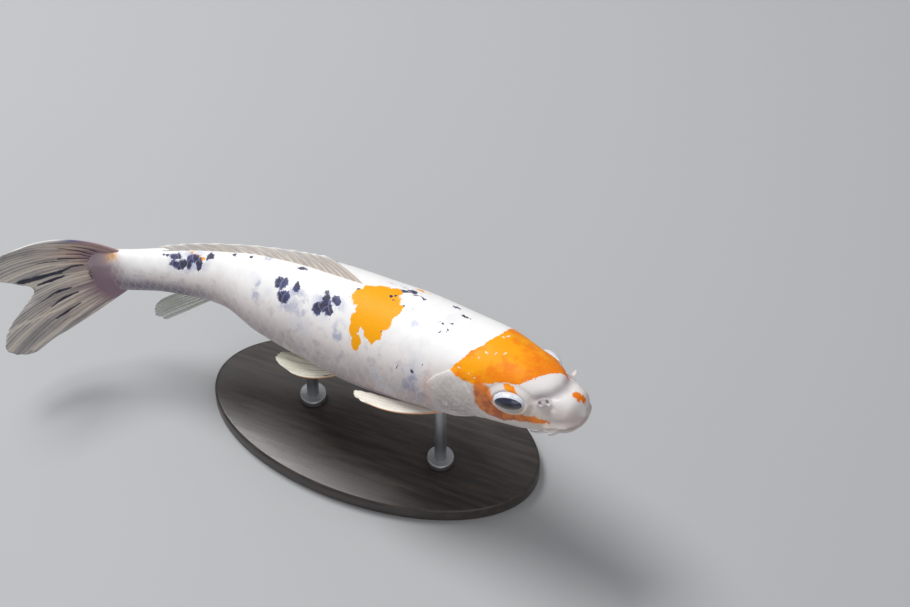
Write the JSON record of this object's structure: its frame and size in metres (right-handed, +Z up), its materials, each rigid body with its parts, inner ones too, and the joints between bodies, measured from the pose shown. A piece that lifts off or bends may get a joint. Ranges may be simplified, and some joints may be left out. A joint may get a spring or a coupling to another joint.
{
  "type": "koi carp",
  "caption": "Life-size still model of a swimming koi carp, white with orange and black markings, on a plain display stand.",
  "frame": {"origin": "middle of the underside of the stand's base", "axes": "+X towards the head along the fish's general heading, +Y to the fish's left, +Z up"},
  "size_m": [0.4063, 0.1231, 0.1636],
  "materials": {
    "head_skin": "wet, glossy fish skin, orange cap on white",
    "body_skin": "wet, glossy scaled skin, pearl white with orange and blue-black patches",
    "fin": "thin, ribbed, cream to grey fin skin",
    "eye": "polished dark eye with a pale rim",
    "stand_base": "satin black lacquered wood",
    "stand_metal": "brushed steel"
  },
  "bodies": {
    "root": {"head": "head_skin", "gill_cover_left": "body_skin", "gill_cover_right": "body_skin", "lower_jaw": "body_skin", "upper_lip": "body_skin", "lower_lip": "body_skin", "barbel_corner_left": "body_skin", "barbel_corner_right": "body_skin", "barbel_lip_left": "body_skin", "barbel_lip_right": "body_skin", "nostril_flap_left": "body_skin", "nostril_flap_right": "body_skin", "eye_left": "eye", "eye_right": "eye", "trunk": "body_skin", "tail_stem": "body_skin", "dorsal_fin": "fin", "anal_fin": "fin", "tail_fin_upper": "fin", "tail_fin_lower": "fin", "pectoral_fin_left": "fin", "pectoral_fin_right": "fin", "pelvic_fin_left": "fin", "pelvic_fin_right": "fin", "stand_base": "stand_base", "stand_rod_front": "stand_metal", "stand_rod_rear": "stand_metal", "stand_collar_front": "stand_metal", "stand_collar_rear": "stand_metal"}
  },
  "joints": []
}
